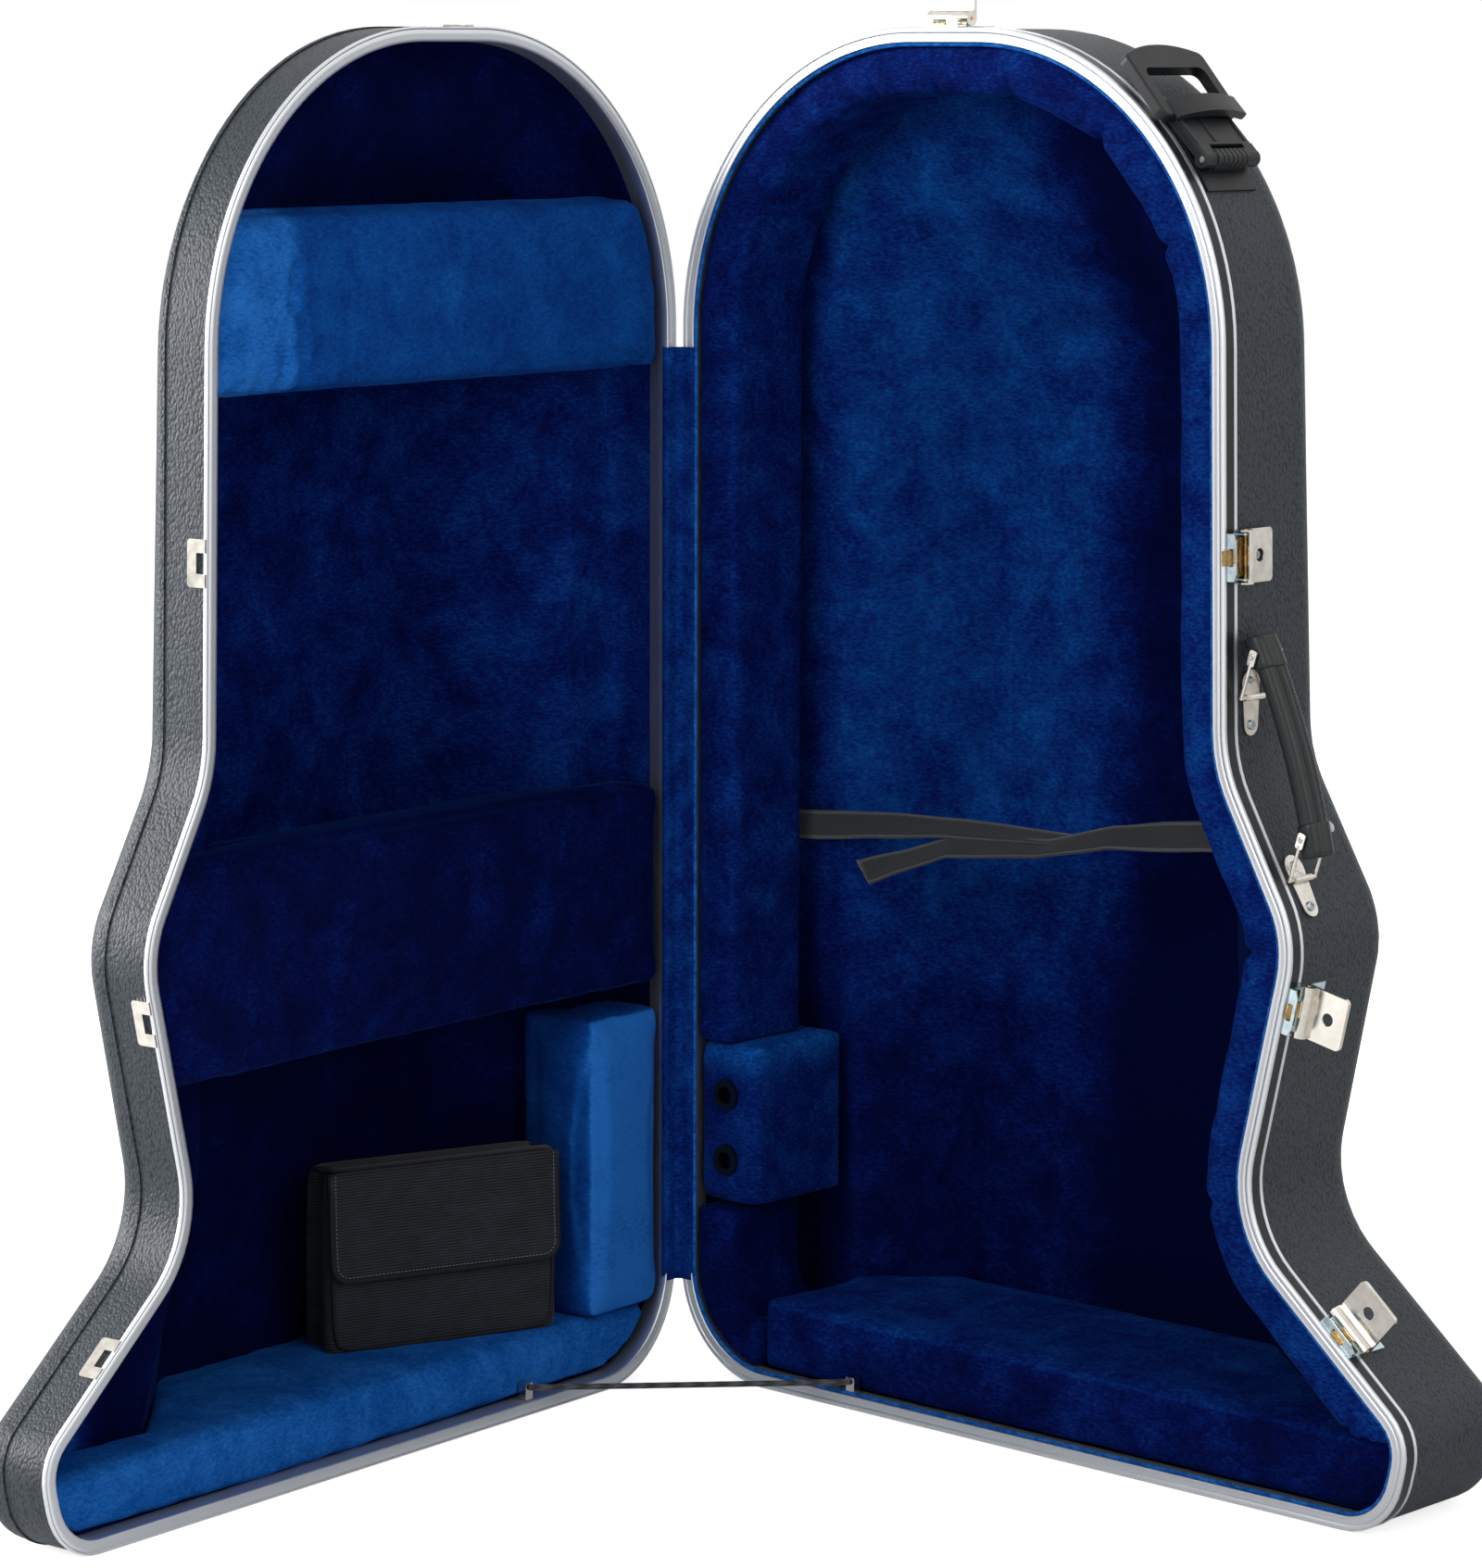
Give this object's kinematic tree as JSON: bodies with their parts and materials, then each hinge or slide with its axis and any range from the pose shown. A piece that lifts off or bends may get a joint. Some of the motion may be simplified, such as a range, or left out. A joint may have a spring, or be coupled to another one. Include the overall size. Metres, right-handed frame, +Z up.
{
  "type": "tuba case",
  "caption": "Hard hinged carrying case, standing open on its foot, shaped to a tuba, with a padded velvet interior, lever latches, a stay cord, a wall handle and an end pull handle.",
  "frame": {"origin": "the hinge axis at floor level, on the plane of the base's rim", "axes": "+Z up along the hinge, +X across the base's rim from the hinge to the free side, +Y into the base's depth"},
  "size_m": [0.929, 0.9998, 1.1942],
  "materials": {
    "shell_leather": "fine grained vinyl, satin",
    "edge_band": "smooth black moulding",
    "rim_aluminium": "polished extrusion",
    "hinge_steel": "plain",
    "latch_nickel": "bright nickel",
    "latch_brass": "yellow zinc",
    "fitting_nickel": "bright nickel",
    "fastener_steel": "bright",
    "grip_leather": "stitched black grip",
    "pull_plastic": "grained black moulding",
    "velvet": "blue crushed velvet",
    "grommet_rubber": "matt black",
    "strap_webbing": "black twill webbing",
    "cord_braid": "dark braid",
    "pouch_cloth": "ribbed dark blue cloth"
  },
  "bodies": {
    "base": {"base_shell": "shell_leather", "base_rim": "rim_aluminium", "base_band": "edge_band", "base_trim": "rim_aluminium", "hinge_cover_base": "velvet", "hinge_leaf_base": "hinge_steel", "hinge_pin": "hinge_steel", "base_lining": "velvet", "base_ring_pad": "velvet", "base_corner_pad": "velvet", "base_floor_pad": "velvet", "mouthpiece_block": "velvet", "mouthpiece_grommets": "grommet_rubber", "strap_back_band": "strap_webbing", "strap_front_band": "strap_webbing", "stay_cord": "cord_braid", "cord_anchor_base": "fitting_nickel", "latch_plates": "latch_nickel", "latch_pins": "latch_brass", "latch_screws": "fastener_steel", "handle_plates": "fitting_nickel", "handle_screws": "fastener_steel", "tow_bracket": "pull_plastic", "tow_pin": "fastener_steel", "strap_rivet": "fastener_steel"},
    "lid": {"lid_shell": "shell_leather", "lid_rim": "rim_aluminium", "hinge_cover_lid": "velvet", "hinge_leaf_lid": "hinge_steel", "lid_lining": "velvet", "lid_floor_pad": "velvet", "lid_side_block": "velvet", "lid_middle_pad": "velvet", "lid_top_pad": "velvet", "cord_anchor_lid": "fitting_nickel", "latch_keepers": "latch_nickel", "pouch_body": "pouch_cloth"},
    "pouch_flap": {"pouch_flap": "pouch_cloth"},
    "handle_link_upper": {"handle_link_upper": "fitting_nickel"},
    "handle_link_lower": {"handle_link_lower": "fitting_nickel"},
    "handle_grip": {"handle_grip": "grip_leather", "handle_collars": "fitting_nickel", "handle_rivets": "fastener_steel"},
    "tow_handle": {"tow_handle": "pull_plastic"},
    "lever_top": {"latch_lever_top": "latch_nickel"},
    "claw_top": {"latch_claw_top": "latch_brass"},
    "lever_upper": {"latch_lever_upper": "latch_nickel"},
    "claw_upper": {"latch_claw_upper": "latch_brass"},
    "lever_middle": {"latch_lever_middle": "latch_nickel"},
    "claw_middle": {"latch_claw_middle": "latch_brass"},
    "lever_lower": {"latch_lever_lower": "latch_nickel"},
    "claw_lower": {"latch_claw_lower": "latch_brass"}
  },
  "joints": [
    {"name": "lid_hinge", "type": "hinge", "parent": "base", "child": "lid", "pos_m": [0, 0, 0], "axis": [0, 0, 1], "range_deg": [0, 85], "deforming": ["stay_cord"]},
    {"name": "lever_top", "type": "hinge", "parent": "base", "child": "lever_top", "pos_m": [0.28092, 0.019, 1.1572], "axis": [1, 0, 0], "range_deg": [-90, 10]},
    {"name": "claw_top", "type": "slide", "parent": "base", "child": "claw_top", "axis": [0, 1, 0], "range_m": [-0.0071, 0.0009]},
    {"name": "lever_upper", "type": "hinge", "parent": "base", "child": "lever_upper", "pos_m": [0.58321, 0.019, 0.7462], "axis": [0.0248, 0, -0.9997], "range_deg": [0, 100]},
    {"name": "claw_upper", "type": "slide", "parent": "base", "child": "claw_upper", "axis": [0, 1, 0], "range_m": [0, 0.0079]},
    {"name": "lever_middle", "type": "hinge", "parent": "base", "child": "lever_middle", "pos_m": [0.64688, 0.019, 0.39829], "axis": [-0.2151, 0, -0.9766], "range_deg": [-90, 10]},
    {"name": "claw_middle", "type": "slide", "parent": "base", "child": "claw_middle", "axis": [0, 1, 0], "range_m": [-0.0071, 0.0009]},
    {"name": "lever_lower", "type": "hinge", "parent": "base", "child": "lever_lower", "pos_m": [0.69804, 0.019, 0.15367], "axis": [0.7531, 0, -0.6579], "range_deg": [-90, 10]},
    {"name": "claw_lower", "type": "slide", "parent": "base", "child": "claw_lower", "axis": [0, 1, 0], "range_m": [-0.0071, 0.0009]},
    {"name": "handle_link_upper", "type": "hinge", "parent": "base", "child": "handle_link_upper", "pos_m": [0.58213, 0.034, 0.63608], "axis": [0, 1, 0], "range_deg": [0, 95]},
    {"name": "handle_link_lower", "type": "hinge", "parent": "base", "child": "handle_link_lower", "pos_m": [0.63171, 0.034, 0.49865], "axis": [0, 1, 0], "range_deg": [0, 95]},
    {"name": "handle_grip", "type": "hinge", "parent": "handle_link_upper", "child": "handle_grip", "pos_m": [0.59213, 0.034, 0.66908], "axis": [0, 1, 0], "range_deg": [-95, 0]},
    {"name": "tow_handle", "type": "hinge", "parent": "base", "child": "tow_handle", "pos_m": [0.53376, 0.052, 1.0493], "axis": [0, 1, 0], "range_deg": [0, 100]},
    {"name": "pouch_flap", "type": "hinge", "parent": "lid", "child": "pouch_flap", "pos_m": [-0.00609, -0.13981, 0.2146], "axis": [-0.309, -0.9511, 0], "range_deg": [0, 120]}
  ],
  "couplings": [
    {"joint": "claw_top", "follows": "lever_top", "m_per_rad": 0.004456},
    {"joint": "claw_upper", "follows": "lever_upper", "m_per_rad": 0.004456},
    {"joint": "claw_middle", "follows": "lever_middle", "m_per_rad": 0.004456},
    {"joint": "claw_lower", "follows": "lever_lower", "m_per_rad": 0.004456},
    {"joint": "handle_link_lower", "follows": "handle_link_upper", "ratio": 1},
    {"joint": "handle_grip", "follows": "handle_link_upper", "ratio": -1}
  ]
}
